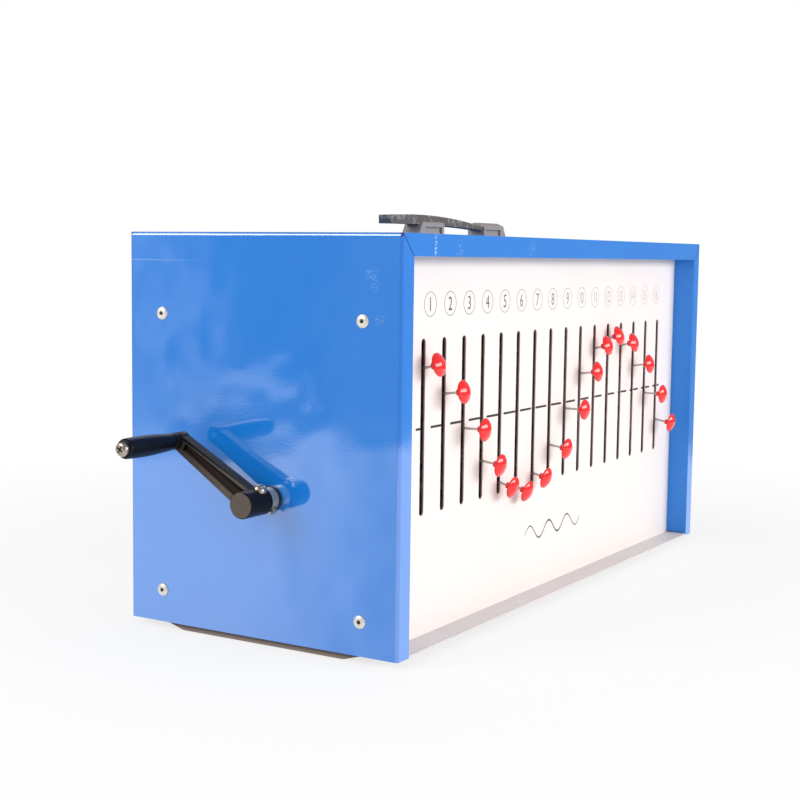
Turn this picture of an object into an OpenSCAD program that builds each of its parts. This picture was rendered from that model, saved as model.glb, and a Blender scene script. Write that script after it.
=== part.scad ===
// Hand-cranked transverse wave demonstrator: a folded sheet-metal box whose front
// panel has a row of upright slots. A stepped crankshaft lifts one bead per slot,
// each a fixed phase behind its neighbour, so turning the crank runs a wave along
// the row. The origin is the middle of the footprint on the table, the front faces
// -Y, and the crank is on the left, at -X.

/* [Housing] */
// Width of the box
body_w = 476; // [470:1:520]
// Depth of the box
body_d = 197; // [190:1:230]
// Height of the box above its feet
body_h = 242; // [236:1:270]
// Thickness of the cover sheet
cover_t = 1.2; // [1:0.1:1.8]
// Outside radius of the cover's bends
bend_r = 2; // [1.5:0.5:4]
// Width of the cover's upright strips, front and back
side_strip = 12.5; // [10:0.5:18]
// Height of the cover's top strips, front and back
top_strip = 13; // [10:0.2:18]
// Depth of both panels behind the strips
recess = 17; // [14:0.5:20]
// Gap between the base plate and the lower ends of the upright strips' returns
return_lift = 0.5; // [0.3:0.1:5]
// Gap between a panel and the inner edges of the returns
return_gap = 2.2; // [0.5:0.1:6]
// Thickness of the front and back panels
panel_t = 1.2; // [0.8:0.1:2]
// Depth of the panels' folded flanges
flange_d = 20; // [16:1:22]
// Thickness of the base plate
base_t = 1.5; // [1:0.1:2.5]

/* [Feet] */
// Height of the foot rails
foot_h = 4.5; // [3:0.5:8]
// Length of a foot rail, along the depth of the box
foot_l = 150; // [120:1:170]
// Width of a foot rail
foot_w = 12; // [8:0.5:16]
// Distance from the side of the box to a foot rail
foot_inset = 3; // [2:0.5:10]

/* [Side rivets] */
// Diameter of a rivet's shank
rivet_d = 4; // [3:0.5:5]
// Diameter of a rivet's head
rivet_head_d = 8; // [7:0.5:10]
// Height of a rivet's head
rivet_head_h = 1.6; // [1.2:0.1:2]
// Distance from a panel's back face to its rivets
rivet_set = 7.5; // [6:0.5:10]
// Height of the lower rivets above the box's underside
rivet_low = 20.2; // [16:0.2:30]
// Height of the upper rivets above the box's underside
rivet_high = 192.4; // [170:0.2:210]

/* [Slots] */
// Distance from slot to slot
slot_pitch = 25; // [24:0.1:27]
// Length of a slot, end to end
slot_l = 106; // [104:0.5:120]
// Width of a slot
slot_w = 5; // [3.6:0.1:6]
// Height of the slots' centres above the box's underside
slot_mid = 127.8; // [126:0.2:130]
// Distance of the row's middle to the right of the box's middle
slot_shift = 2.8; // [0:0.2:4]

/* [Wave drive] */
// Rise of a rod above its middle height
wave_amp = 46.8; // [36:0.2:47]
// Middle height of the wave above the box's underside
wave_mid = 123; // [122.6:0.2:127]
// Distance of the shaft behind the box's middle plane
axis_y = -10; // [-14:0.5:0]
// Height of the shaft above the box's underside
axis_z = 85.5; // [84:0.5:86]
// Diameter of the shaft's journals
journal_d = 10; // [8:0.5:12]
// Diameter of a crank pin
pin_d = 7; // [5:0.5:8]
// Length of a crank pin
pin_l = 17; // [15:0.5:19]
// End radius of a crank web
web_r = 6.5; // [6:0.1:8]
// Waist of a crank web
web_waist = 11; // [8:0.5:12]
// Thickness of an eccentric disc and of the strap round it
disc_t = 6; // [4:0.5:8]
// Least wall of an eccentric disc beside its crank pin
disc_wall = 2.5; // [2.2:0.1:4]
// Wall of an eccentric disc's boss
boss_wall = 1.8; // [1.4:0.1:2.1]
// Wall of a strap
strap_wall = 3; // [2:0.1:4]
// Thickness of a rod's arm
arm_t = 4; // [3:0.5:6]
// Height of a rod's arm
arm_h = 6; // [4:0.5:7]
// Width of the neck between a strap and its arm
neck_w = 14; // [10:1:20]
// Clearance round a crank pin or a journal
run_gap = 0.1; // [0.05:0.01:0.1]
// Clearance between pieces that slide or turn past each other
slide_gap = 0.3; // [0.2:0.05:0.5]

/* [Bearings] */
// Diameter of a bearing bush in the cover's wall
bush_d = 14; // [13:0.5:18]
// Diameter of a bush's ring outside the wall
bush_ring_d = 15.5; // [15:0.5:22]
// Thickness of a bush's ring outside the wall
bush_ring_t = 2; // [1:0.2:4]
// Diameter of a bush's flange inside the wall
bush_flange_d = 26; // [22:1:34]
// Thickness of a bush's flange inside the wall
bush_flange_t = 3; // [2:0.5:5]
// Length of a bush inside the wall
bush_l = 12; // [8:1:20]

/* [Guides] */
// Diameter of a guide rod
guide_d = 3; // [2:0.2:4]
// Distance from the front panel's face to the guide rods
guide_set = 23.5; // [20:0.5:28]
// Width of a guide rail
rail_w = 14; // [10:1:18]
// Height of a guide rail
rail_h = 6; // [4:0.5:10]
// Room left between a rail and a rod at the end of its travel
rail_room = 4; // [2:0.5:6]
// Diameter of a rod's guide lug
lug_d = 9; // [7.5:0.5:12]
// Length of a rod's guide lug
lug_l = 22; // [14:1:26]

/* [Beads] */
// Diameter of a rod's wire
wire_d = 1.5; // [1:0.1:2]
// Diameter of a bead
bead_d = 14.6; // [11:0.2:17]
// Height of a bead's domed front
bead_dome = 3; // [2:0.1:5]
// Length of a bead's tapered back
bead_taper = 2.6; // [2:0.1:4]
// Diameter of a bead's neck
neck_d = 4.2; // [3:0.1:6]
// Length of a bead's neck
neck_l = 1.5; // [1:0.1:3]
// Thickness of a bead's rim
bead_rim = 0.8; // [0.4:0.1:1.5]
// Distance from the panel to a bead at middle height
bead_reach = 16; // [14:0.5:20]
// Swing radius that the lean and the reach of the wires follow
swing_r = 160; // [150:1:240]
// Distance from the panel to the bend in a wire
bend_out = 1.5; // [1:0.1:3]

/* [Crank] */
// Angle of the crank arm from upright, leaning to the back
crank_angle = 59; // [-180:1:180]
// Distance from the shaft to the grip
crank_l = 63; // [50:1:80]
// Diameter of the silver collar
collar_d = 14.8; // [13:0.2:16]
// Length of the silver collar
collar_l = 6.9; // [5:0.1:9]
// Diameter of the hub
hub_d = 16; // [15:0.5:22]
// Length of the hub
hub_l = 20.5; // [18:0.5:26]
// Thickness of the hub's closed end
hub_end = 3; // [2:0.5:5]
// Width of the crank arm at the hub
crank_w = 14.5; // [12:0.5:16]
// Thickness of the crank arm
crank_t = 7; // [6:0.5:10]
// Distance from the hub's outer end to the crank arm
crank_drop = 8.2; // [0.2:0.1:10]
// Depth of the channel in the crank arm's outer face
channel_depth = 3.4; // [0.8:0.1:4]
// Width of the flange on each side of the channel
channel_rib = 2.4; // [1.5:0.1:3]
// Width of the crank arm at its round far end
eye_d = 10.4; // [10:0.1:18]
// Length of the boss that carries the grip
grip_boss_l = 4.9; // [2:0.1:8]
// Angle from the crank arm to the hub's screw
hub_screw_angle = 79; // [60:1:120]
// Distance from the hub's outer end to its screw
hub_screw_at = 15; // [12:0.5:17]
// Depth of the flat under the hub screw's head
hub_spot = 0.5; // [0.3:0.1:1]

/* [Grip] */
// Length of the grip
grip_l = 41; // [34:1:70]
// Diameter of the grip at the crank arm
grip_root_d = 10; // [9:0.2:14]
// Largest diameter of the grip
grip_mid_d = 12.5; // [11:0.1:18]
// Diameter of the grip's outer end before its rounding
grip_end_d = 11.8; // [11:0.1:16]
// Radius of the rounding at the grip's outer end
grip_round = 1.6; // [1:0.1:1.8]
// Diameter of the grip's bolt
bolt_d = 4; // [3:0.5:5]

/* [Crank screws] */
// Diameter of the grip bolt's head
bolt_head_d = 8.6; // [7.5:0.1:9]
// Height of a screw's head
screw_head_h = 3.1; // [2:0.1:4]
// Diameter of the hub screw's head
hub_head_d = 8; // [7:0.1:8.5]
// Diameter of the hub screw's shank
hub_screw_d = 4; // [3:0.5:4.5]
// Diameter of the collar screw's shank
grub_d = 3; // [2:0.5:4]
// Diameter of the collar screw's head
grub_head_d = 5; // [4.5:0.1:6]
// Height of the collar screw's head
grub_out = 2.6; // [0.6:0.1:3]
// Angle of the collar's screw from upright, toward the front
grub_angle = 137; // [90:1:180]
// Width of a cross recess
cross_w = 0.9; // [0.6:0.1:1.2]
// Span of a cross recess
cross_l = 4.4; // [3:0.1:5]
// Depth of a cross recess
cross_depth = 1.2; // [0.8:0.1:1.6]

/* [Carry handle] */
// Distance from the box's middle to the inner end of a bracket
bracket_in = 30; // [26:1:40]
// Length of a bracket
bracket_l = 36; // [30:1:44]
// Width of a bracket
bracket_w = 14; // [13:0.5:20]
// Height of a bracket's sides
bracket_h = 10.2; // [9:0.2:12]
// Height of a bracket's ridge
ridge_h = 12.3; // [11:0.1:15]
// Length of the slope at a bracket's outer end
bracket_slope = 7; // [4:0.5:10]
// Depth of the pocket in a bracket's side
pocket_depth = 2; // [1:0.2:3]
// Wall round the pocket in a bracket's side
pocket_wall = 3; // [2:0.2:3.6]
// Width of the strap
strap_w = 11; // [8:0.5:12]
// Distance from the box's middle to the strap's free tip
strap_tip = 101; // [90:1:120]
// Distance from the box's middle to the strap's held end
strap_held = 38; // [34:1:44]
// Distance from the box's middle to the strap's highest point
strap_crest = 60; // [50:1:70]
// Height of the strap's top at its highest point
strap_top_h = 15.4; // [14.5:0.1:18]
// Height of the strap's underside below its highest point
strap_under_h = 8.9; // [8.4:0.1:9.4]
// Radius of the strap's arched top
strap_top_r = 640; // [600:10:900]
// Radius of the strap's arched underside
strap_under_r = 2000; // [1900:50:4000]
// Slant of the strap's free tip
tip_slant = 3.5; // [1:0.5:6]

/* [Hidden] */
$fn = 64;
hair = 0.01;
count = 16;
cycle = 12;
crest = 12;
join = 2;
strap_steps = 24;
dome_steps = 8;
taper_steps = 8;

blue = "#3a84dc";
white = "#f4f0ee";
grey = "#c9c7c6";
steel = "#b8bcc0";
black = "#1a1a1f";
slate = "#6b635d";
red = "#f2302f";
ivory = "#e8e2d0";

throw = wave_amp / 2;
pin_r = pin_d / 2;
disc_r = throw + pin_r + run_gap + disc_wall;
boss_r = pin_r + run_gap + boss_wall;
boss_l = pin_l - 2 * slide_gap;
strap_r = disc_r + slide_gap;
strap_out_r = strap_r + strap_wall;
web_t = slot_pitch - pin_l;
arm_up = wave_mid - axis_z;

axis_h = foot_h + axis_z;
top_z = foot_h + body_h;
side_x = body_w / 2;
inner_x = side_x - cover_t;
front_y = -body_d / 2;
panel_y = front_y + recess;
panel_top = top_z - cover_t - bend_r;
base_top = foot_h + base_t;
rivet_y = -panel_y - panel_t - rivet_set;
guide_y = panel_y + guide_set;
rail_x = inner_x - panel_t;
rail_high = foot_h + wave_mid + wave_amp + lug_l / 2 + rail_room;
rail_low = foot_h + wave_mid - wave_amp - lug_l / 2 - rail_room;
lug_bore_r = guide_d / 2 + slide_gap;
shaft_left = -side_x - bush_ring_t - slide_gap - collar_l - hub_l + hub_end;
shaft_right = side_x + bush_ring_t - slide_gap;
collar_x = -side_x - bush_ring_t - slide_gap - collar_l;
hub_x = collar_x - hub_l;
crank_x = hub_x + crank_drop;
grip_x = crank_x - grip_boss_l - slide_gap;
arm_step = eye_d / 12;
hub_seat_r = hub_head_d / 2 + slide_gap;
hub_seat = hub_d / 2 - hub_spot;
grub_seat_r = grub_head_d / 2 + slide_gap;
grub_seat = sqrt(pow(collar_d / 2, 2) - pow(grub_seat_r, 2)) - slide_gap;
row_reach = abs(slot_shift) + slot_pitch * (count - 1) / 2 + pin_l / 2 + web_t;
bush_in = min(bush_l, side_x - row_reach - slide_gap);
bend_y = panel_y - bend_out;
bead_r = bead_d / 2;
dome_r = (bead_r * bead_r + bead_dome * bead_dome) / (2 * bead_dome);

function two(n) = n < 10 ? str("0", n) : str(n);
function phase(n) = (n - crest) * 360 / cycle;
function slot_x(n) = slot_shift + slot_pitch * (n - (count + 1) / 2);
function axis_at() = [axis_y, axis_h];
function pin_at(n) = [axis_y - throw * sin(phase(n)), axis_h + throw * cos(phase(n))];
function disc_at(n) = [axis_y, axis_h + wave_amp * cos(phase(n))];
function rod_z(n) = disc_at(n)[1] + arm_up;
function lean(n) = asin(wave_amp * cos(phase(n)) / swing_r);
function bead_y(n) = panel_y - bead_reach + swing_r * (1 - cos(lean(n)));
function bead_z(n) = rod_z(n) + (bend_y - bead_y(n)) * tan(lean(n));
function arm_w(z) = crank_w + (eye_d - arm_step - crank_w) * z / crank_l;
function strap_top(x) = strap_top_h - pow(x + strap_crest, 2) / (2 * strap_top_r);
function strap_under(x) = strap_under_h - pow(x + strap_crest, 2) / (2 * strap_under_r);

PLAIN_NODES = ["cover", "base_plate", "front_panel", "back_panel", "side_rivets", "foot_rails",
    "shaft_bearings", "guide_rails", "guide_rods", "handle_brackets", "handle_strap",
    "wave_shaft", "shaft_collar", "crank_arm", "crank_screws", "crank_grip"];

// A round bar along X, starting at x on the line through the point at
module bar_x(x, at, r, l) {
    translate([x, at[0], at[1]])
        rotate([0, 90, 0])
            cylinder(r = r, h = l);
}

// A flat rectangle with round corners, centred
module round_rect(w, d, r) {
    union() {
        square([w - 2 * r, d], center = true);
        square([w, d - 2 * r], center = true);
        for (x = [-1, 1], y = [-1, 1])
            translate([x * (w / 2 - r), y * (d / 2 - r)])
                circle(r);
    }
}

// A block standing on z, with round upright edges and round top edges at its sides
module folded_block(w, d, z, h, r) {
    intersection() {
        translate([0, 0, z])
            linear_extrude(h)
                round_rect(w, d, r);
        translate([0, d / 2, z])
            rotate([90, 0, 0])
                linear_extrude(d)
                    translate([0, h / 2 - r])
                        round_rect(w, h + 2 * r, r);
    }
}

// Both copies of a shape, front and back
module front_and_back() {
    children();
    mirror([0, 1, 0])
        children();
}

// Places at every rivet, with the local Z axis pointing out of the cover's side
module at_rivets() {
    for (s = [-1, 1], y = [-rivet_y, rivet_y], z = [rivet_low, rivet_high])
        translate([s * side_x, y, foot_h + z])
            rotate([0, s * 90, 0])
                children();
}

module cover() {
    color(blue) difference() {
        union() {
            difference() {
                folded_block(body_w, body_d, foot_h, body_h, bend_r);
                folded_block(body_w - 2 * cover_t, body_d - 2 * cover_t, foot_h - hair,
                    body_h - cover_t + hair, bend_r - cover_t);
                front_and_back()
                    translate([side_strip - side_x, front_y - 1, foot_h - 1])
                        cube([body_w - 2 * side_strip, cover_t + 2, body_h - top_strip + 1]);
            }
            front_and_back()
                for (s = [-1, 1])
                    translate([s * (side_x - side_strip + cover_t / 2) - cover_t / 2, front_y,
                        base_top + return_lift])
                        cube([cover_t, recess - return_gap,
                            top_z - cover_t / 2 - base_top - return_lift]);
        }
        at_rivets()
            translate([0, 0, -cover_t - 1])
                cylinder(d = rivet_d, h = cover_t + 2);
        for (s = [-1, 1])
            bar_x(s * side_x - cover_t - 1, axis_at(), bush_d / 2, 2 * cover_t + 2);
    }
}

module base_plate() {
    strip_back = cover_t + bend_r;
    color(grey) union() {
        translate([-inner_x, front_y + strip_back, foot_h])
            cube([2 * inner_x, body_d - 2 * strip_back, base_t]);
        translate([side_strip - side_x, front_y, foot_h])
            cube([body_w - 2 * side_strip, body_d, base_t]);
    }
}

// A folded panel in front of the drive, standing on the base plate
module panel_sheet() {
    difference() {
        translate([-inner_x, panel_y, base_top])
            cube([2 * inner_x, flange_d, panel_top - base_top]);
        translate([-inner_x + panel_t, panel_y + panel_t, base_top + panel_t])
            cube([2 * (inner_x - panel_t), flange_d, panel_top - base_top]);
        at_rivets()
            translate([0, 0, -cover_t - panel_t - 1])
                cylinder(d = rivet_d, h = panel_t + 2);
    }
}

module slot_cut(n) {
    straight = slot_l - slot_w;
    translate([slot_x(n), panel_y + panel_t + 1, foot_h + slot_mid])
        rotate([90, 0, 0])
            linear_extrude(panel_t + 2)
                union() {
                    square([slot_w, straight], center = true);
                    for (s = [-1, 1])
                        translate([0, s * straight / 2])
                            circle(d = slot_w);
                }
}

module front_panel() {
    color(white) difference() {
        panel_sheet();
        for (n = [1:count])
            slot_cut(n);
    }
}

module back_panel() {
    color(white) mirror([0, 1, 0])
        panel_sheet();
}

module side_rivets() {
    grip = cover_t + panel_t;
    tail_h = 2;
    color(steel) at_rivets() difference() {
        union() {
            translate([0, 0, -grip - tail_h / 2])
                cylinder(d = rivet_d, h = grip + tail_h / 2 + rivet_head_h / 2);
            translate([0, 0, -grip - tail_h])
                cylinder(d = rivet_d * 1.5, h = tail_h);
            rotate_extrude()
                polygon([[0, 0], [rivet_head_d / 2, 0], [rivet_head_d / 2, rivet_head_h * 0.35],
                    [rivet_head_d * 0.36, rivet_head_h * 0.8], [rivet_head_d / 4, rivet_head_h],
                    [0, rivet_head_h]]);
        }
        translate([0, 0, rivet_head_h * 0.3])
            cylinder(d = rivet_d * 0.65, h = rivet_head_h);
    }
}

module foot_rails() {
    slope = 3.5 * foot_h;
    color(slate)
        for (s = [-1, 1])
            translate([s * (side_x - foot_inset - foot_w / 2) - foot_w / 2, 0, 0])
                rotate([90, 0, 90])
                    linear_extrude(foot_w)
                        polygon([[-foot_l / 2, foot_h], [slope - foot_l / 2, 0],
                            [foot_l / 2 - slope, 0], [foot_l / 2, foot_h]]);
}

// A flanged bush in the left wall, its ring outside and its flange inside
module bush() {
    difference() {
        union() {
            bar_x(-side_x - bush_ring_t, axis_at(), bush_ring_d / 2, bush_ring_t);
            bar_x(-side_x - bush_ring_t / 2, axis_at(), bush_d / 2, bush_in + bush_ring_t / 2);
            bar_x(-inner_x, axis_at(), bush_flange_d / 2, bush_flange_t);
        }
        bar_x(-side_x - bush_ring_t - 1, axis_at(), journal_d / 2 + run_gap, bush_in + bush_ring_t + 2);
    }
}

module shaft_bearings() {
    color(black) {
        bush();
        mirror([1, 0, 0])
            bush();
    }
}

module guide_rails() {
    color(steel)
        for (z = [rail_high, rail_low - rail_h])
            difference() {
                translate([-rail_x, guide_y - rail_w / 2, z])
                    cube([2 * rail_x, rail_w, rail_h]);
                for (n = [1:count])
                    translate([slot_x(n), guide_y, z - 1])
                        cylinder(d = guide_d, h = rail_h + 2);
            }
}

module guide_rods() {
    color(steel)
        for (n = [1:count])
            translate([slot_x(n), guide_y, rail_low - rail_h])
                cylinder(d = guide_d, h = rail_high + 2 * rail_h - rail_low);
}

// A flat crank web from the line through p to the line through q
module web(x, p, q) {
    d = q - p;
    translate([x, 0, 0])
        rotate([90, 0, 90])
            linear_extrude(web_t)
                union() {
                    translate(p)
                        circle(web_r);
                    translate(q)
                        circle(web_r);
                    translate(p)
                        rotate(atan2(d[1], d[0]))
                            translate([0, -web_waist / 2])
                                square([norm(d), web_waist]);
                }
}

module wave_shaft() {
    first_x = slot_x(1) - pin_l / 2 - web_t;
    last_x = slot_x(count) + pin_l / 2;
    color(steel) union() {
        bar_x(shaft_left, axis_at(), journal_d / 2, first_x + join - shaft_left);
        web(first_x, axis_at(), pin_at(1));
        for (n = [1:count])
            bar_x(slot_x(n) - pin_l / 2 - join, pin_at(n), pin_r, pin_l + 2 * join);
        for (n = [1:count - 1])
            web(slot_x(n) + pin_l / 2, pin_at(n), pin_at(n + 1));
        web(last_x, pin_at(count), axis_at());
        bar_x(last_x + web_t - join, axis_at(), journal_d / 2, shaft_right - last_x - web_t + join);
    }
}

// The eccentric discs of one phase: each turns on its crank pin inside a strap
module disc(g) {
    color(ivory)
        for (n = [g:cycle:count])
            difference() {
                union() {
                    bar_x(slot_x(n) - disc_t / 2, disc_at(n), disc_r, disc_t);
                    bar_x(slot_x(n) - boss_l / 2, pin_at(n), boss_r, boss_l);
                }
                bar_x(slot_x(n) - pin_l / 2, pin_at(n), pin_r + run_gap, pin_l);
            }
}

// A rod: the strap round its disc, an arm to the lug on its guide rod, and the wire
// that goes out through the slot
module rod(n) {
    x = slot_x(n);
    c = disc_at(n);
    z = rod_z(n);
    lug_front = guide_y - (lug_bore_r + lug_d / 2) / 2;
    wire_l = (bend_y - bead_y(n)) / cos(lean(n));
    color(steel) difference() {
        union() {
            bar_x(x - disc_t / 2, c, strap_out_r, disc_t);
            translate([x - arm_t / 2, axis_y - neck_w / 2, c[1] + strap_r + strap_wall / 2])
                cube([arm_t, neck_w, arm_up - strap_r - strap_wall / 2]);
            translate([x - arm_t / 2, guide_y, z - arm_h / 2])
                cube([arm_t, axis_y + neck_w / 2 - guide_y, arm_h]);
            translate([x, guide_y, z - lug_l / 2])
                cylinder(d = lug_d, h = lug_l);
            translate([x, lug_front, z])
                rotate([90, 0, 0])
                    cylinder(d = wire_d, h = lug_front - bend_y);
            translate([x, bend_y, z]) {
                sphere(d = wire_d * 1.06);
                rotate([90 - lean(n), 0, 0])
                    cylinder(d = wire_d, h = wire_l);
            }
        }
        bar_x(x - disc_t, c, strap_r, 2 * disc_t);
        translate([x, guide_y, z - lug_l])
            cylinder(r = lug_bore_r, h = 2 * lug_l);
    }
}

// A bead: a domed cap with a tapered back, on the end of its wire
module bead(n) {
    wire_r = wire_d / 2;
    back = bead_rim + bead_taper + neck_l;
    taper_drop = bead_r - neck_d / 2;
    dome = [for (i = [0:dome_steps]) let (r = bead_r * (1 - i / dome_steps))
        [r, sqrt(dome_r * dome_r - r * r) - dome_r + bead_dome]];
    taper = [for (i = [0:taper_steps]) let (t = i / taper_steps)
        [neck_d / 2 + taper_drop * t, bead_taper * pow(t, 0.7) - bead_taper - bead_rim]];
    color(red)
        translate([slot_x(n), bead_y(n), bead_z(n)])
            rotate([90 - lean(n), 0, 0])
                difference() {
                    rotate_extrude()
                        polygon(concat([[0, -back], [neck_d / 2, -back]], taper, dome));
                    translate([0, 0, -back - 1])
                        cylinder(r = wire_r, h = back + 1);
                }
}

// Places at the crank's hub, with the crank arm along the local Z axis
module at_crank() {
    translate([0, axis_y, axis_h])
        rotate([-crank_angle, 0, 0])
            children();
}

module shaft_collar() {
    color(steel) at_crank() difference() {
        bar_x(collar_x, [0, 0], collar_d / 2, collar_l);
        bar_x(collar_x - 1, [0, 0], journal_d / 2, collar_l + 2);
        at_grub_screw() {
            cylinder(d = grub_d, h = collar_d);
            translate([0, 0, grub_seat])
                cylinder(r = grub_seat_r, h = collar_d);
        }
    }
}

// The crank arm seen along the shaft: a bar that narrows to its round far end
module arm_outline() {
    end_w = arm_w(crank_l);
    union() {
        polygon([[-crank_w / 2, 0], [crank_w / 2, 0], [end_w / 2, crank_l], [-end_w / 2, crank_l]]);
        translate([0, crank_l])
            circle(d = eye_d);
    }
}

// The channel between the crank arm's two flanges
module channel_outline() {
    low = hub_d * 0.4;
    high = crank_l - eye_d / 2 - channel_rib / 2;
    low_w = arm_w(low) / 2 - channel_rib;
    high_w = arm_w(high) / 2 - channel_rib;
    polygon([[-low_w, low], [low_w, low], [high_w, high], [-high_w, high]]);
}

module crank_arm() {
    far = [0, crank_l];
    color(black) at_crank() difference() {
        union() {
            difference() {
                translate([crank_x, 0, 0])
                    rotate([90, 0, 90])
                        linear_extrude(crank_t)
                            arm_outline();
                translate([crank_x - 1, 0, 0])
                    rotate([90, 0, 90])
                        linear_extrude(1 + channel_depth)
                            channel_outline();
            }
            bar_x(hub_x, [0, 0], hub_d / 2, hub_l);
            bar_x(crank_x - grip_boss_l, far, grip_root_d / 2, grip_boss_l + crank_t / 2);
        }
        bar_x(hub_x + hub_end, [0, 0], journal_d / 2, hub_l);
        bar_x(crank_x - grip_boss_l - 1, far, bolt_d / 2, grip_boss_l + crank_t + 2);
        at_hub_screw() {
            cylinder(d = hub_screw_d, h = hub_d);
            translate([0, 0, hub_seat])
                cylinder(r = hub_seat_r, h = hub_d);
        }
    }
}

// Places on the shaft's axis with the local Z axis out along the hub's screw
module at_hub_screw() {
    translate([hub_x + hub_screw_at, 0, 0])
        rotate([hub_screw_angle, 0, 0])
            children();
}

// Places on the shaft's axis with the local Z axis out along the collar's screw
module at_grub_screw() {
    translate([collar_x + collar_l / 2, 0, 0])
        rotate([grub_angle + crank_angle, 0, 0])
            children();
}

// A pan head standing on z, with a cross recess
module pan_head(d, z) {
    translate([0, 0, z])
        difference() {
            rotate_extrude()
                polygon([[0, 0], [d / 2, 0], [d / 2, screw_head_h * 0.4], [d * 0.42, screw_head_h * 0.8],
                    [d * 0.3, screw_head_h], [0, screw_head_h]]);
            for (a = [0, 90])
                rotate([0, 0, a])
                    translate([-cross_l / 2, -cross_w / 2, screw_head_h - cross_depth])
                        cube([cross_l, cross_w, cross_depth + 1]);
        }
}

module crank_screws() {
    bolt_l = crank_t + grip_boss_l + grip_l + 2 * slide_gap;
    color(steel) at_crank() {
        translate([crank_x + crank_t, 0, crank_l])
            rotate([0, -90, 0])
                union() {
                    cylinder(d = bolt_d, h = bolt_l + screw_head_h / 4);
                    pan_head(bolt_head_d, bolt_l);
                }
        at_hub_screw()
            union() {
                translate([0, 0, journal_d / 2])
                    cylinder(d = hub_screw_d, h = hub_seat - journal_d / 2 + screw_head_h / 4);
                pan_head(hub_head_d, hub_seat);
            }
        at_grub_screw()
            union() {
                translate([0, 0, journal_d / 2])
                    cylinder(d = grub_d, h = grub_seat - journal_d / 2 + grub_out / 2);
                translate([0, 0, grub_seat])
                    cylinder(d = grub_head_d, h = grub_out);
            }
    }
}

module crank_grip() {
    root_r = grip_root_d / 2;
    mid_r = grip_mid_d / 2;
    end_r = grip_end_d / 2;
    mid_l = grip_l * 0.62;
    bore_r = bolt_d / 2 + slide_gap;
    swell = [for (i = [0:taper_steps]) let (t = i / taper_steps)
        [root_r + (mid_r - root_r) * sin(90 * t), mid_l * t]];
    rounding = [for (a = [0:15:90])
        [end_r - grip_round * (1 - cos(a)), grip_l - grip_round * (1 - sin(a))]];
    color(black) at_crank()
        translate([grip_x, 0, crank_l])
            rotate([0, -90, 0])
                rotate_extrude()
                    polygon(concat([[bore_r, 0]], swell, rounding, [[bore_r, grip_l]]));
}

// The strap's outline seen from the front, its heights counted from the box's top
module strap_outline() {
    span = strap_tip + strap_held;
    top = [for (i = [0:strap_steps]) let (x = strap_held - span * i / strap_steps)
        [x, strap_top(x)]];
    under = [for (i = [0:strap_steps])
        let (x = tip_slant - strap_tip + (span - tip_slant) * i / strap_steps)
        [x, strap_under(x)]];
    polygon(concat(top, under));
}

// The strap, with its free tip round when seen from above
module strap_solid() {
    tip_x = strap_w / 2 - strap_tip;
    intersection() {
        translate([0, strap_w / 2, top_z])
            rotate([90, 0, 0])
                linear_extrude(strap_w)
                    strap_outline();
        translate([0, 0, top_z])
            linear_extrude(2 * strap_top_h)
                union() {
                    translate([tip_x, -strap_w / 2])
                        square([strap_held + 1 - tip_x, strap_w]);
                    translate([tip_x, 0])
                        circle(d = strap_w);
                }
    }
}

module handle_strap() {
    color(slate)
        strap_solid();
}

// A bracket to the right of the box's middle: a ridged block that slopes at its outer end
module bracket_blank() {
    pocket_l = bracket_l - bracket_slope - 2 * pocket_wall;
    difference() {
        intersection() {
            translate([bracket_in, 0, top_z])
                rotate([90, 0, 90])
                    linear_extrude(bracket_l)
                        polygon([[-bracket_w / 2, 0], [bracket_w / 2, 0], [bracket_w / 2, bracket_h],
                            [bracket_w / 6, ridge_h], [-bracket_w / 6, ridge_h],
                            [-bracket_w / 2, bracket_h]]);
            translate([bracket_in, bracket_w / 2, top_z])
                rotate([90, 0, 0])
                    linear_extrude(bracket_w)
                        polygon([[0, 0], [bracket_l, 0], [bracket_l - bracket_slope, ridge_h],
                            [0, ridge_h]]);
        }
        front_and_back()
            translate([bracket_in + pocket_wall, -bracket_w / 2 - 1, top_z + pocket_wall])
                cube([pocket_l, 1 + pocket_depth, bracket_h - 2 * pocket_wall]);
    }
}

module handle_brackets() {
    color(slate) difference() {
        union() {
            bracket_blank();
            mirror([1, 0, 0])
                bracket_blank();
        }
        strap_solid();
    }
}

cover();
base_plate();
front_panel();
back_panel();
side_rivets();
foot_rails();
shaft_bearings();
guide_rails();
guide_rods();
handle_brackets();
handle_strap();
wave_shaft();
shaft_collar();
crank_arm();
crank_screws();
crank_grip();
for (g = [1:cycle])
    disc(g);
for (n = [1:count])
    rod(n);
for (n = [1:count])
    bead(n);
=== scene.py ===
from functools import partial
from math import asin, cos, hypot, pi, radians, sin, sqrt, tan

import bmesh
import bpy
from mathutils import Matrix, Vector

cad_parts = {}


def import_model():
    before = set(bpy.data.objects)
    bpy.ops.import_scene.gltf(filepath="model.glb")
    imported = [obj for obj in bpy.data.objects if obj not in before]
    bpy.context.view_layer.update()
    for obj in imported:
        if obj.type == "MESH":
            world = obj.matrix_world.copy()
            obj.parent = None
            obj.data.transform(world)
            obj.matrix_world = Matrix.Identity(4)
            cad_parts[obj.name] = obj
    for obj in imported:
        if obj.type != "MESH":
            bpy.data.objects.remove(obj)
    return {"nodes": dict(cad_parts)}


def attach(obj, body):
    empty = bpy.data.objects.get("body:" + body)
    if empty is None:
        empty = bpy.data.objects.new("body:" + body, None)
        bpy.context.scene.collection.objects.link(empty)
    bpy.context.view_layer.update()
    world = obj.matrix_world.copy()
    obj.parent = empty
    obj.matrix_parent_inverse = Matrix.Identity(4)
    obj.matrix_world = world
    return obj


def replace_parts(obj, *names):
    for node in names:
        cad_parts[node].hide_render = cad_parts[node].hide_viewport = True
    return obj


mm = 0.001
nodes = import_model()["nodes"]
scene = bpy.context.scene
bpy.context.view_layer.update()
print("frame loaded:", len(nodes), "nodes")

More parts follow.
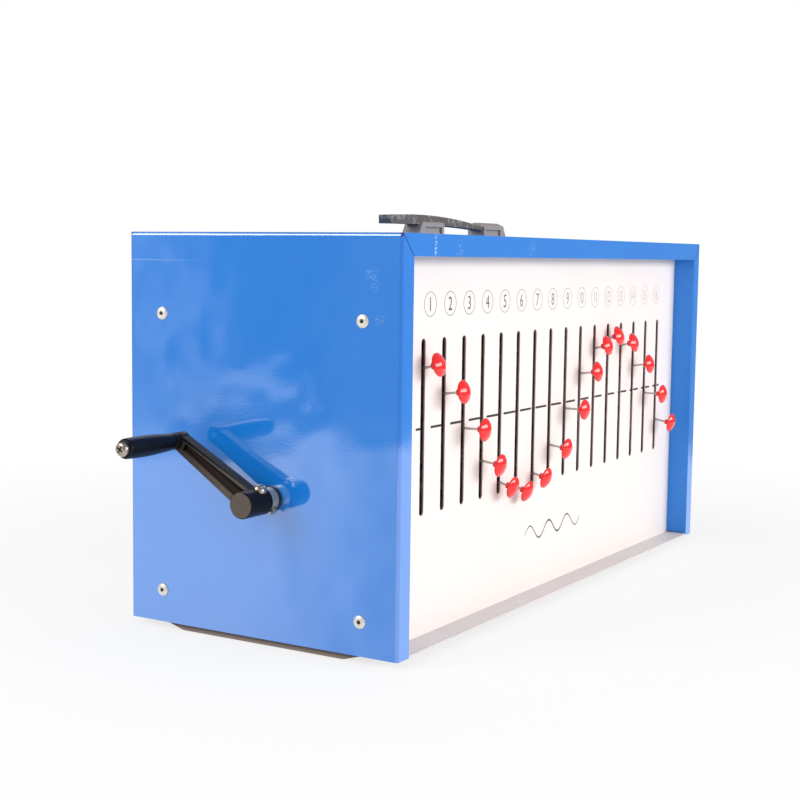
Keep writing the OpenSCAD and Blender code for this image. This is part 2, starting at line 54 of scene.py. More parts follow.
# where the solids are, in millimetres
box = {"halfWidth": 238, "top": 246.5, "panelFace": 81.5, "sideStrip": 12.5, "topStrip": 13, "returnEnd": 6.5,
       "returnEdge": 83.7, "returnReach": 81.7}
wave = {"count": 16, "cycle": 12, "crest": 12, "pitch": 25, "shift": 2.8, "amplitude": 46.8, "middle": 127.5,
        "swing": 160, "reach": 16, "bendOut": 1.5, "slotWidth": 5}
slots = range(1, wave["count"] + 1)
phases = range(1, wave["cycle"] + 1)


def slotX(n):
    return wave["shift"] + wave["pitch"] * (n - (wave["count"] + 1) / 2)


def two(n):
    return "%02d" % n


def addObject(name, data):
    thing = bpy.data.objects.new(name, data)
    scene.collection.objects.link(thing)
    return thing


def hexColour(text):  # sRGB hex to the linear colour that a shader takes
    parts = [int(text[i:i + 2], 16) / 255 for i in (1, 3, 5)]
    return [c / 12.92 if c <= 0.04045 else ((c + 0.055) / 1.055) ** 2.4 for c in parts] + [1]


def addNode(tree, kind, inputs=None, **settings):  # a node or a socket is linked, any other value is set
    isFull = kind.startswith(("GeometryNode", "NodeGroup"))
    node = tree.nodes.new(kind if isFull else "ShaderNode" + kind)
    for key, value in settings.items():
        setattr(node, key, value)
    for key, value in (inputs or {}).items():
        if isinstance(value, bpy.types.Node):
            value = next(socket for socket in value.outputs if socket.enabled)
        if isinstance(value, bpy.types.NodeSocket):
            tree.links.new(value, node.inputs[key])
        else:
            node.inputs[key].default_value = hexColour(value) if str(value).startswith("#") else value
    return node


def product(add, first, *others):  # masks multiplied together
    for other in others:
        first = add("Math", {0: first, 1: other}, operation="MULTIPLY")
    return first


def span(pair, unit=mm):  # a range's start and end, as the second and third input of a node
    return {1: pair[0] * unit, 2: pair[1] * unit}


def distance(add, value, level):  # how far a value is from a level, on either side
    return add("Math", {0: add("Math", {0: value, 1: level}, operation="SUBTRACT")}, operation="ABSOLUTE")


def openMaterial(name):
    material = bpy.data.materials.new(name)
    material.use_nodes = True
    material.node_tree.nodes.clear()
    add = partial(addNode, material.node_tree)
    return material, add, add("TexCoord").outputs["Object"]


def closeMaterial(material, add, finish):
    add("OutputMaterial", {"Surface": add("BsdfPrincipled", finish)})
    return material


# camera

camera = {"at": (-0.92802, -0.51413, 0.23348), "turn": 58.9, "down": 5.629, "roll": -0.745, "lens": 65.66,
          "sensor": 36, "near": 0.01}


def placeCamera():
    turn, down, roll = (radians(camera[k]) for k in ("turn", "down", "roll"))
    forward = Vector((sin(turn) * cos(down), cos(turn) * cos(down), -sin(down)))
    right = forward.cross(Vector((0, 0, 1))).normalized()
    below = forward.cross(right)
    across = cos(roll) * right + sin(roll) * below
    under = cos(roll) * below - sin(roll) * right
    lens = bpy.data.cameras.new("photoLens")
    lens.lens = camera["lens"]
    lens.sensor_width = camera["sensor"]
    lens.clip_start = camera["near"]
    axes = Matrix((across, -under, -forward)).transposed()
    scene.camera = addObject("photoCamera", lens)
    scene.camera.matrix_world = Matrix.Translation(camera["at"]) @ axes.to_4x4()


placeCamera()
print("camera placed")


# materials

primer = "#a8817a"  # brown-grey, on the insides of the sheets

# marks on the blue paint, in mm; a spot is its middle, its radius and how far it is rubbed
blue = {"front": -98.2, "left": -237.8, "dots": -201.4, "scratch": 229.4, "scratchReach": (35, 85),
        "bendDepth": (96, 97), "bendSide": (236.2, 236.9), "strip": 96.4, "pinhole": (237.2, 97.7, 245.6),
        "inside": (237.4, 81.2, 245.9), "flatTo": (228, 237),
        "spots": (((-173, -98.5, 238), 6, 0.35), ((-77, -98.5, 239), 7, 0.35), ((-238, -78.6, 222.8), 5, 0.5),
                  ((-238, -80.7, 216.8), 4, 0.5), ((-238, -83.5, 197.9), 5, 0.3))}


# gloss stove enamel on steel sheet: deep blue under a clear skin, the sheet a little wavy, the skin like fine orange
# peel, thin on cut edges, with an open mitre at the front and back corners
def makeBlueEnamel(name, skinWeight, skinRoughness):
    material, add, place = openMaterial(name)
    atX, atY, height = add("SeparateXYZ", {0: place}).outputs
    sideways = add("Math", {0: atX}, operation="ABSOLUTE")
    depth = add("Math", {0: atY}, operation="ABSOLUTE")
    cloud = add("TexNoise", {"Vector": place, "Scale": 1 / (70 * mm)})
    tone = add("Mix", {0: cloud, 6: "#127cdb", 7: "#1b84e4"}, data_type="RGBA")
    edge = add("Attribute", attribute_name="edge").outputs["Fac"]
    nicks = add("TexNoise", {"Vector": place, "Scale": 1 / (5 * mm), "Detail": 3.0})
    worn = add("Mix", {0: product(add, edge, nicks), 6: tone, 7: "#7db4f0"}, data_type="RGBA")
    # a dotted scuff down the front of the top strip
    onScuff = add("MapRange", {0: distance(add, atX, blue["dots"] * mm), 1: 1.5 * mm, 2: 0.5 * mm})
    dots = add("TexNoise", {"Vector": place, "Scale": 1 / (1.2 * mm), "Detail": 1.0})
    dotted = add("MapRange", {0: dots, 1: 0.5, 2: 0.58})
    onFront = add("Math", {0: atY, 1: blue["front"] * mm}, operation="LESS_THAN")
    # a long scratch near the top of the left side
    onScratch = add("MapRange", {0: distance(add, height, blue["scratch"] * mm), 1: 0.4 * mm, 2: 0.15 * mm})
    reach = add("MapRange", {0: atY, **span(blue["scratchReach"]), 4: 0.3})
    onLeft = add("Math", {0: atX, 1: blue["left"] * mm}, operation="LESS_THAN")
    scuffs = add("Math", {0: product(add, onScuff, dotted, onFront), 1: product(add, onScratch, reach, onLeft)},
                 operation="MAXIMUM")
    # rubbed spots: two on the top strip, three on the left side
    streaky = add("Mapping", {"Vector": place, "Rotation": (0.6, 0.6, 0),
                              "Scale": [1 / (size * mm) for size in (2.2, 2.2, 0.8)]})
    streaks = add("TexNoise", {"Vector": streaky, "Scale": 1.0})
    rubbed = add("MapRange", {0: streaks, 1: 0.52, 2: 0.66})
    for spot, radius, strength in blue["spots"]:
        away = add("VectorMath", {0: place, 1: Vector(spot) * mm}, operation="DISTANCE")
        near = add("MapRange", {0: away, 1: radius * mm, 2: 0.3 * radius * mm, 4: strength})
        scuffs = add("Math", {0: scuffs, 1: product(add, near, rubbed)}, operation="MAXIMUM")
    # painted shade: a deeper blue along the upright bends, for the dark line a bend shows
    onBend = add("MapRange", {0: depth, **span(blue["bendDepth"]), 4: 0.35})
    bendSide = add("MapRange", {0: sideways, **span(blue["bendSide"])})
    thick = add("Mix", {0: product(add, onBend, bendSide), 6: worn, 7: "#0660d0"}, data_type="RGBA")
    scuffed = add("Mix", {0: scuffs, 6: thick, 7: "#b9dcfb"}, data_type="RGBA")
    # the mitre: a line at the corner's slant on the strips' faces, and a pinhole where three folds meet
    slant = hypot(box["sideStrip"], box["topStrip"])
    inward = add("Math", {0: box["halfWidth"] * mm, 1: sideways}, operation="SUBTRACT")
    downward = add("Math", {0: box["top"] * mm, 1: height}, operation="SUBTRACT")
    acrossLine = product(add, inward, box["topStrip"] / slant)
    fromLine = add("Math", {0: downward, 1: -box["sideStrip"] / slant, 2: acrossLine}, operation="MULTIPLY_ADD")
    offLine = add("Math", {0: fromLine}, operation="ABSOLUTE")
    line = add("MapRange", {0: offLine, 1: 0.5 * mm, 2: 0.25 * mm})
    onStrip = add("Math", {0: depth, 1: blue["strip"] * mm}, operation="GREATER_THAN")
    nearCorner = add("Math", {0: inward, 1: (box["sideStrip"] + 0.1) * mm}, operation="LESS_THAN")
    cornerAt = add("CombineXYZ", {0: sideways, 1: depth, 2: height})
    fromCorner = add("VectorMath", {0: cornerAt, 1: Vector(blue["pinhole"]) * mm}, operation="DISTANCE")
    pinhole = add("MapRange", {0: fromCorner, 1: 1.5 * mm, 2: 0.9 * mm})
    opening = add("Math", {0: product(add, line, onStrip, nearCorner), 1: pinhole}, operation="MAXIMUM")
    mitred = add("Mix", {0: opening, 6: scuffed, 7: "#08208a"}, data_type="RGBA")
    inside = [add("Math", {0: at, 1: limit * mm}, operation="LESS_THAN")
              for at, limit in zip((sideways, depth, height), blue["inside"])]
    lined = add("Mix", {0: product(add, *inside), 6: mitred, 7: primer}, data_type="RGBA")
    smears = add("TexNoise", {"Vector": place, "Scale": 1 / (38 * mm), "Detail": 5.0, "Roughness": 0.6})
    gloss = add("MapRange", {0: smears, 1: 0.3, 2: 0.7, 3: 0.24, 4: 0.36})
    sheet = add("TexNoise", {"Vector": place, "Scale": 1 / (80 * mm)})
    wavy = add("Bump", {"Strength": 1.0, "Distance": 1.1 * mm, "Height": sheet})
    onSheet = add("MapRange", {0: sideways, **span(blue["flatTo"]), 3: 0.15})  # the folds keep it flat
    calm = add("Mix", {0: onSheet, 4: add("NewGeometry").outputs["Normal"], 5: wavy}, data_type="VECTOR")
    peel = add("TexNoise", {"Vector": place, "Scale": 1 / (1.5 * mm), "Detail": 1.0})
    skin = add("Bump", {"Strength": 0.6, "Distance": 0.012 * mm, "Height": peel, "Normal": calm})
    return closeMaterial(material, add, {
        "Base Color": lined, "Roughness": gloss, "Normal": skin, "Coat Normal": skin, "IOR": 1.5,
        "Specular IOR Level": 0.1, "Coat Weight": skinWeight, "Coat Roughness": skinRoughness, "Coat IOR": 2.6})


# satin stove enamel on steel sheet: warm white, faintly clouded, primer on the inside
def makeWhiteEnamel():
    material, add, place = openMaterial("stoveEnamelWhiteSatin")
    depth = add("Math", {0: add("SeparateXYZ", {0: place}).outputs["Y"]}, operation="ABSOLUTE")
    cloud = add("TexNoise", {"Vector": place, "Scale": 1 / (55 * mm), "Detail": 3.0})
    tone = add("Mix", {0: cloud, 6: "#efe7e3", 7: "#ebe3df"}, data_type="RGBA")
    edge = add("Attribute", attribute_name="edge").outputs["Fac"]
    worn = add("Mix", {0: product(add, edge, 0.5), 6: tone, 7: "#b9b1ad"}, data_type="RGBA")
    inside = add("Math", {0: depth, 1: (box["panelFace"] - 0.5) * mm}, operation="LESS_THAN")
    lined = add("Mix", {0: inside, 6: worn, 7: primer}, data_type="RGBA")
    smears = add("TexNoise", {"Vector": place, "Scale": 1 / (30 * mm), "Detail": 4.0})
    gloss = add("MapRange", {0: smears, 1: 0.3, 2: 0.7, 3: 0.34, 4: 0.46})
    peel = add("TexNoise", {"Vector": place, "Scale": 1 / (2.2 * mm), "Detail": 1.0})
    skin = add("Bump", {"Strength": 0.3, "Distance": 0.02 * mm, "Height": peel})
    return closeMaterial(material, add, {"Base Color": lined, "Roughness": gloss, "Normal": skin, "IOR": 1.5,
                                         "Coat Weight": 0.15, "Coat Roughness": 0.2})


# satin grey enamel on the base plate: flat, with the fine speckle of a sprayed coat and one painted shade spot by the
# panel, for a small gap there in shade
def makeGreyEnamel():
    material, add, place = openMaterial("sprayedEnamelGreySatin")
    speck = add("TexNoise", {"Vector": place, "Scale": 1 / (1.6 * mm)})
    cloud = add("TexNoise", {"Vector": place, "Scale": 1 / (40 * mm)})
    blend = add("Math", {0: speck, 1: 0.4, 2: cloud}, operation="MULTIPLY_ADD")
    tone = add("Mix", {0: blend, 6: "#dfd9d9", 7: "#d3cdcd"}, data_type="RGBA")
    # painted shade: a dark spot by the panel, for a small gap between panel and plate
    fromGap = add("Mapping", {"Vector": place, "Location": (-184.6 * mm, 83.5 * mm, 0),
                               "Scale": (0.4, 1, 0)})  # a painted shade spot by the panel, longer along X
    away = add("VectorMath", {0: fromGap}, operation="LENGTH")
    gapShade = add("MapRange", {0: away, 1: 2.2 * mm, 2: 1.2 * mm, 4: 0.9})
    gapShaded = add("Mix", {0: gapShade, 6: tone, 7: "#4b4a33"}, data_type="RGBA")
    gloss = add("MapRange", {0: speck, 1: 0.3, 2: 0.7, 3: 0.42, 4: 0.55})
    skin = add("Bump", {"Strength": 0.4, "Distance": 0.02 * mm, "Height": speck})
    return closeMaterial(material, add, {"Base Color": gapShaded, "Roughness": gloss, "Normal": skin, "IOR": 1.5})


# nickel plate on turned or upset steel: warm bright metal, with fine marks, a dull film, and painted shade with dirt in
# the cross recesses
def makeNickel():
    material, add, place = openMaterial("nickelPlateBright")
    film = add("TexNoise", {"Vector": place, "Scale": 1 / (2.5 * mm), "Detail": 4.0})
    tone = add("Mix", {0: film, 6: "#cfc5b7", 7: "#a09485"}, data_type="RGBA")
    # painted shade with dirt: the cross recesses are darkened
    recess = add("Attribute", attribute_name="recess").outputs["Fac"]
    shadeDarkened = add("Mix", {0: recess, 6: tone, 7: "#2a1c12"}, data_type="RGBA")
    gloss = add("MapRange", {0: film, 1: 0.3, 2: 0.7, 3: 0.24, 4: 0.4})
    scores = add("TexNoise", {"Vector": place, "Scale": 1 / (0.5 * mm)})
    skin = add("Bump", {"Strength": 0.4, "Distance": 0.02 * mm, "Height": scores})
    return closeMaterial(material, add, {"Base Color": shadeDarkened, "Roughness": gloss, "Normal": skin, "Metallic": 1.0})


# wear, painted light and painted shade on the crank arm: directions along it, down across it and up from it, and levels
# on these or along X in mm
armWearAndShading = {"along": (0, 0.857, 0.515), "down": (0, 0.515, -0.857), "up": (0, -0.515, 0.857), "handled": (52, 98),
           "ribTop": -258, "ribTaper": -0.07, "ribSide": (-92.4, -91.8), "wall": -81.3, "channel": -255.5,
           "floor": -257.5, "floorHalf": (-83.3, -81.8)}


# black enamel on die-cast zinc: soft grain, rubbed to a warm grey on the outward flats, with a painted highlight line
# on the upper rib, painted light on the channel's lower wall and painted shadow on the upper half of its floor
def makeBlackEnamel():
    material, add, place = openMaterial("blackEnamelOnDieCastZinc")
    cloud = add("TexNoise", {"Vector": place, "Scale": 1 / (9 * mm), "Detail": 3.0})
    tone = add("Mix", {0: cloud, 6: "#121214", 7: "#1c1a1a"}, data_type="RGBA")
    facing = add("TexCoord").outputs["Normal"]
    outward = add("SeparateXYZ", {0: facing}).outputs["X"]
    across = add("SeparateXYZ", {0: place}).outputs["X"]
    along = add("VectorMath", {0: place, 1: armWearAndShading["along"]}, operation="DOT_PRODUCT")
    under = add("VectorMath", {0: place, 1: armWearAndShading["down"]}, operation="DOT_PRODUCT")
    upward = add("VectorMath", {0: facing, 1: armWearAndShading["up"]}, operation="DOT_PRODUCT")
    # outward flats rubbed to a warm grey, less toward the grip; on the upper rib only a narrow band beside the channel,
    # a painted highlight line
    flats = add("MapRange", {0: outward, 1: -0.93, 2: -0.99, 4: 0.8})
    handled = add("MapRange", {0: along, **span(armWearAndShading["handled"]), 3: 1.0, 4: 0.45})
    raised = add("Math", {0: across, 1: armWearAndShading["ribTop"] * mm}, operation="LESS_THAN")
    taper = add("Math", {0: along, 1: armWearAndShading["ribTaper"], 2: under}, operation="MULTIPLY_ADD")
    ribSide = add("MapRange", {0: taper, **span(armWearAndShading["ribSide"])})
    rubbed = add("Mix", {0: product(add, flats, handled, raised, ribSide), 6: tone, 7: "#665b54"}, data_type="RGBA")
    # the channel's lower wall, which faces up: painted light, a pale tone for a lit face
    wall = add("MapRange", {0: upward, 1: 0.85, 2: 0.97})
    lower = add("Math", {0: under, 1: armWearAndShading["wall"] * mm}, operation="GREATER_THAN")
    inChannel = add("Math", {0: across, 1: armWearAndShading["channel"] * mm}, operation="LESS_THAN")
    wallLit = add("Mix", {0: product(add, wall, handled, lower, inChannel), 6: rubbed, 7: "#9a8b80"}, data_type="RGBA")
    # the channel's floor: painted shadow, black in its upper half under the upper rib, warm grey in its lower half
    # where light falls
    half = add("MapRange", {0: under, **span(armWearAndShading["floorHalf"])})
    floorShading = add("Mix", {0: half, 6: "#0a0808", 7: "#352d29"}, data_type="RGBA")
    sunk = add("Math", {0: across, 1: armWearAndShading["floor"] * mm}, operation="GREATER_THAN")
    floored = add("Mix", {0: product(add, flats, inChannel, sunk), 6: wallLit, 7: floorShading}, data_type="RGBA")
    edge = add("Attribute", attribute_name="edge").outputs["Fac"]
    nicks = add("TexNoise", {"Vector": place, "Scale": 1 / (3 * mm), "Detail": 3.0})
    patchy = add("MapRange", {0: nicks, 1: 0.5, 2: 0.7, 4: 0.25})
    worn = add("Mix", {0: product(add, edge, patchy), 6: floored, 7: "#7a7068"}, data_type="RGBA")
    gloss = add("MapRange", {0: cloud, 1: 0.3, 2: 0.7, 3: 0.3, 4: 0.42})
    grain = add("TexNoise", {"Vector": place, "Scale": 1 / (1.4 * mm)})
    skin = add("Bump", {"Strength": 0.35, "Distance": 0.03 * mm, "Height": grain})
    return closeMaterial(material, add, {
        "Base Color": worn, "Roughness": gloss, "Normal": skin, "IOR": 1.45, "Specular IOR Level": 0.1,
        "Coat Weight": 0.03, "Coat Roughness": 0.16, "Coat IOR": 1.5})


# moulded polypropylene of the carry handle: warm grey, spark-eroded grain, rubbed pale on its edges, chalky in flecks
def makeHandlePlastic(name, dark, light, chalk):
    material, add, place = openMaterial(name)
    cloud = add("TexNoise", {"Vector": place, "Scale": 1 / (14 * mm), "Detail": 4.0})
    tone = add("Mix", {0: cloud, 6: dark, 7: light}, data_type="RGBA")
    edge = add("Attribute", attribute_name="edge").outputs["Fac"]
    worn = add("Mix", {0: product(add, edge, 0.35), 6: tone, 7: "#a09894"}, data_type="RGBA")
    dust = add("TexNoise", {"Vector": place, "Scale": 1 / (3.5 * mm), "Detail": 4.0})
    flecks = add("MapRange", {0: dust, 1: 0.5, 2: 0.72, 4: chalk})
    chalky = add("Mix", {0: flecks, 6: worn, 7: "#cfc8bf"}, data_type="RGBA")
    grain = add("TexVoronoi", {"Vector": place, "Scale": 1 / (1.1 * mm)})
    gloss = add("MapRange", {0: grain, 2: 0.8, 3: 0.42, 4: 0.58})
    skin = add("Bump", {"Strength": 0.45, "Distance": 0.05 * mm, "Height": grain})
    return closeMaterial(material, add, {"Base Color": chalky, "Roughness": gloss, "Normal": skin, "IOR": 1.49})


# extruded rubber of the foot rails: brown-grey with dust, with lines along Y, and painted shade, dark near the top
# where it meets the box
def makeRubber():
    material, add, place = openMaterial("extrudedRubberBrown")
    along = add("Mapping", {"Vector": place, "Scale": [1 / (size * mm) for size in (1.2, 40, 1.2)]})
    lines = add("TexNoise", {"Vector": along, "Scale": 1.0, "Detail": 3.0})
    dust = add("TexNoise", {"Vector": place, "Scale": 1 / (7 * mm), "Detail": 4.0})
    tone = add("Mix", {0: dust, 6: "#7d6e65", 7: "#9a8a80"}, data_type="RGBA")
    height = add("SeparateXYZ", {0: place}).outputs["Z"]
    # painted shade: darker toward the top, where the rail meets the box's edge
    shadeUnderBox = add("MapRange", {0: height, 1: 0.8 * mm, 2: 4.2 * mm, 4: 0.95})
    shadeDarkened = add("Mix", {0: shadeUnderBox, 6: tone, 7: "#262226"}, data_type="RGBA")
    gloss = add("MapRange", {0: dust, 1: 0.3, 2: 0.7, 3: 0.65, 4: 0.85})
    skin = add("Bump", {"Strength": 0.5, "Distance": 0.08 * mm, "Height": lines})
    return closeMaterial(material, add, {"Base Color": shadeDarkened, "Roughness": gloss, "Normal": skin, "IOR": 1.52})


# screen-printed ink rubbed pale: the numbers and their rings are dark at the left end and nearly gone at the right
def makeFadedInk():
    material, add, place = openMaterial("screenPrintInkFaded")
    film = add("TexNoise", {"Vector": place, "Scale": 1 / (2.6 * mm), "Detail": 3.0})
    atX = add("SeparateXYZ", {0: place}).outputs["X"]
    along = add("MapRange", {0: atX, 1: -170 * mm, 2: 190 * mm, 3: -0.15, 4: 0.62})
    wear = add("Math", {0: film, 1: 0.3, 2: along}, operation="MULTIPLY_ADD", use_clamp=True)
    tone = add("Mix", {0: wear, 6: "#2c2829", 7: "#d9d1cf"}, data_type="RGBA")
    gloss = add("MapRange", {0: film, 1: 0.3, 2: 0.7, 3: 0.45, 4: 0.6})
    return closeMaterial(material, add, {"Base Color": tone, "Roughness": gloss, "IOR": 1.5})


# turned stock: fine rings round the X axis, where the lathe tool went, under an uneven film
def makeTurned(name, finish, tones, film, gloss, strength, ringWidth, distortion):
    material, add, place = openMaterial(name)
    rings = add("TexWave", {"Vector": place, "Scale": 1 / (6.3 * ringWidth * mm), "Distortion": distortion},
                bands_direction="X").outputs["Fac"]
    cloud = add("TexNoise", {"Vector": place, "Scale": 1 / (film * mm), "Detail": 3.0})
    return closeMaterial(material, add, {
        "Base Color": add("Mix", {0: cloud, 6: tones[0], 7: tones[1]}, data_type="RGBA"),
        "Roughness": add("MapRange", {0: rings, 3: gloss[0], 4: gloss[1]}),
        "Normal": add("Bump", {"Strength": strength, "Distance": 0.02 * mm, "Height": rings}), **finish})


# plain stock: the first grain tints it, the last varies its gloss and raises its skin by a strength and a depth in mm;
# a grain is its size in mm, or one along each axis, its detail and its distortion
def makeGrained(name, finish, tones, gloss, relief, *grains):
    material, add, place = openMaterial(name)
    patterns = []
    for size, detail, distortion in grains:
        if isinstance(size, tuple):
            along = add("Mapping", {"Vector": place, "Scale": [1 / (s * mm) for s in size]})
            inputs = {"Vector": along, "Scale": 1.0}
        else:
            inputs = {"Vector": place, "Scale": 1 / (size * mm)}
        patterns.append(add("TexNoise", {**inputs, "Detail": detail, "Distortion": distortion}))
    look = {"Base Color": add("Mix", {0: patterns[0], 6: tones[0], 7: tones[1]}, data_type="RGBA"),
            "Roughness": add("MapRange", {0: patterns[-1], 1: 0.3, 2: 0.7, 3: gloss[0], 4: gloss[1]}), **finish}
    if relief:
        strength, depth = relief
        look["Normal"] = add("Bump", {"Strength": strength, "Distance": depth * mm, "Height": patterns[-1]})
    return closeMaterial(material, add, look)


blueEnamel = makeBlueEnamel("stoveEnamelBlueGloss", 1.0, 0.05)
blueEnamelDry = makeBlueEnamel("stoveEnamelBlueDrySpray", 0.22, 0.3)  # returns, where less lands, and the handled top
whiteEnamel = makeWhiteEnamel()
greyEnamel = makeGreyEnamel()
nickel = makeNickel()
blackEnamel = makeBlackEnamel()
strapPlastic = makeHandlePlastic("mouldedPolypropyleneDarkGrey", "#565049", "#6a635d", 0.4)
bracketPlastic = makeHandlePlastic("mouldedPolypropyleneGrey", "#948b88", "#a29996", 0.15)
rubber = makeRubber()
fadedInk = makeFadedInk()
# turned steel of the shaft: a bright grey
turnedSteel = makeTurned("turnedSteel", {"Metallic": 1.0}, ("#c4c6c8", "#a0a3a6"), 12, (0.26, 0.4), 0.4, 0.6, 0.6)
# turned nylon of the bearing bushes: black and waxy
bushNylon = makeTurned("turnedNylonBlack", {"IOR": 1.53}, ("#17161a", "#232125"), 5, (0.34, 0.48), 0.3, 0.5, 0.8)
# zinc plate on the collar: pale, dull silver with a fine matt grain
zinc = makeGrained("zincPlateDull", {"Metallic": 0.85}, ("#d9cfbd", "#b5a999"), (0.36, 0.5), (0.5, 0.03), (0.9, 3, 0))
# drawn steel wire and strip: grey metal with long fine draw lines along Y
drawnSteel = makeGrained("drawnSteelWire", {"Metallic": 1.0}, ("#cfccc6", "#a5a19a"), (0.25, 0.42), (0.3, 0.02),
                         ((0.35, 14, 0.35), 3, 0))
# ground silver steel of the guide rods: bright, with faint lengthwise bands
groundSteel = makeGrained("groundSilverSteel", {"Metallic": 1.0}, ("#cbced0", "#b3b7ba"), (0.16, 0.28), None,
                          ((0.6, 0.6, 25), 2, 0))
# extruded aluminium of the guide rails: soft grey, with die lines along X
extrudedAlloy = makeGrained("extrudedAluminium", {"Metallic": 1.0}, ("#c6c9cb", "#a9adb0"), (0.3, 0.48), (0.3, 0.03),
                            ((60, 0.8, 0.8), 3, 0))
# moulded phenolic of the grip: polished black, with fine handling scratches round it
polish = {"IOR": 1.4, "Specular IOR Level": 0.25, "Coat Weight": 0.05, "Coat Roughness": 0.2, "Coat IOR": 1.4}
phenolic = makeGrained("mouldedPhenolicBlack", polish, ("#0a0a0f", "#131318"), (0.3, 0.45), (0.2, 0.02),
                       (8, 3, 0), ((0.7, 9, 9), 4, 0))
# moulded nylon of the eccentric discs: ivory, with flow clouds
discNylon = makeGrained("mouldedNylonIvory", {"IOR": 1.53}, ("#e9e3d2", "#d9d0b8"), (0.38, 0.52), None, (11, 3, 0.8))
# moulded polystyrene of the beads: bright red, clear gloss, with faint flow clouds and handling marks
clearGloss = {"IOR": 1.4, "Coat Weight": 0.7, "Coat Roughness": 0.03, "Coat IOR": 1.5}
redPolystyrene = makeGrained("mouldedPolystyreneRed", clearGloss, ("#f82828", "#ec1e22"), (0.12, 0.24), (0.12, 0.03),
                             (9, 2, 0.6), (2.2, 4, 0))
# screen-printed ink on the panel: charcoal, thin and slightly uneven
ink = makeGrained("screenPrintInkCharcoal", {"IOR": 1.5}, ("#221e20", "#3a3436"), (0.45, 0.6), None, (1.8, 3, 0))
# tumbled aluminium of the blind rivets: pale, with a soft grain
rivetAlloy = makeGrained("tumbledAluminium", {"Metallic": 0.6}, ("#f4efe8", "#dcd4cb"), (0.32, 0.46), (0.4, 0.03),
                         (1.2, 3, 0))
# dark drawn steel of the rivets' broken mandrels
mandrelSteel = makeGrained("drawnSteelDark", {"Metallic": 0.6}, ("#2b2624", "#4a423d"), (0.4, 0.6), None, (0.8, 3, 0))
print("materials mixed")


# pieces

dress = {"weld": 0.002, "flat": radians(0.4), "sharp": radians(40), "weight": 80}


def addPiece(name, mesh, body, material=None):
    piece = addObject(name, mesh)
    if material:
        mesh.materials.clear()
        mesh.materials.append(material)
    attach(piece, body)
    return piece


def meshFrom(bm, name):
    mesh = bpy.data.meshes.new(name)
    bm.to_mesh(mesh)
    bm.free()
    return mesh


def smoothMesh(bm, name):  # soft shading, apart from sharp edges
    for face in bm.faces:
        face.smooth = True
    mesh = meshFrom(bm, name)
    mesh.set_sharp_from_angle(angle=dress["sharp"])
    return mesh


def finalMesh(thing):  # a plain mesh of an object as its modifiers leave it
    return bpy.data.meshes.new_from_object(thing.evaluated_get(bpy.context.evaluated_depsgraph_get()))


def sharpEdges(bm, least, test=None):
    found = []
    for edge in bm.edges:
        if edge.is_manifold and edge.calc_face_angle(0) > radians(least) and (test is None or test(edge)):
            found.append(edge)
    return found


# a copy of a node's solid with its edges broken: rounds lists the radius in mm, the steps, the least angle and,
# where not all edges are meant, a test
def dressNode(nodeName, pieceName, body, material, rounds, adjust=None, isSunk=None):
    bm = bmesh.new()
    bm.from_mesh(nodes[nodeName].data)
    bmesh.ops.remove_doubles(bm, verts=bm.verts, dist=dress["weld"] * mm)
    bmesh.ops.dissolve_limit(bm, angle_limit=dress["flat"], verts=bm.verts, edges=bm.edges)
    if adjust:
        adjust(bm)
    worn = bm.faces.layers.float.new("edge")
    for radius, steps, least, *test in rounds:
        cut = bmesh.ops.bevel(bm, geom=sharpEdges(bm, least, *test), offset=radius * mm, offset_type="OFFSET",
                              segments=steps, profile=0.5, affect="EDGES", clamp_overlap=True)
        for face in cut["faces"]:
            face[worn] = 1.0
    if isSunk:
        sunk = bm.faces.layers.float.new("recess")
        for face in bm.faces:
            face[sunk] = 1.0 if isSunk(face.calc_center_median() / mm) else 0.0
    holder = addObject(pieceName + "Rough", smoothMesh(bm, pieceName))
    level = holder.modifiers.new("flatsStayFlat", "WEIGHTED_NORMAL")
    level.keep_sharp = True
    level.weight = dress["weight"]
    even = finalMesh(holder)
    even.name = pieceName
    bpy.data.objects.remove(holder)
    piece = addPiece(pieceName, even, body, material)
    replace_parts(piece, nodeName)
    return piece


# a solid turned round Z: profile holds (radius, height) in mm, from pole to pole or closed round a bore
def turnMesh(name, profile, steps, bored=False):
    bm = bmesh.new()
    turns = [2 * pi * i / steps for i in range(steps)]
    rings = []
    for radius, height in profile:
        if radius < 1e-6:
            rings.append([bm.verts.new((0, 0, height * mm))])
        else:
            rings.append([bm.verts.new((radius * mm * cos(a), radius * mm * sin(a), height * mm)) for a in turns])
    following = rings[1:] + rings[:1] if bored else rings[1:]
    for ring, after in zip(rings, following):
        for i in range(steps):
            j = (i + 1) % steps
            corners = [ring[i % len(ring)], ring[j % len(ring)], after[j % len(after)], after[i % len(after)]]
            bm.faces.new(list(dict.fromkeys(corners)))
    bmesh.ops.recalc_face_normals(bm, faces=bm.faces)
    return smoothMesh(bm, name)


# a plain mesh from a node tree: points are the seed's vertices, values go to the tree's named inputs
def growMesh(name, tree, values, points=(), lengths=None):
    seedMesh = bpy.data.meshes.new(name + "Seed")
    seedMesh.from_pydata([tuple(p) for p in points], [], [])
    if lengths:
        seedMesh.attributes.new("long", "FLOAT", "POINT").data.foreach_set("value", lengths)
    seed = addObject(name + "Seed", seedMesh)
    grow = seed.modifiers.new("grow", "NODES")
    grow.node_group = tree
    for item in tree.interface.items_tree:
        if item.in_out == "INPUT" and item.name in values:
            grow[item.identifier] = values[item.name]
    grown = finalMesh(seed)
    grown.name = name
    seed.modifiers.remove(grow)
    bpy.data.objects.remove(seed)
    bpy.data.meshes.remove(seedMesh)
    return grown


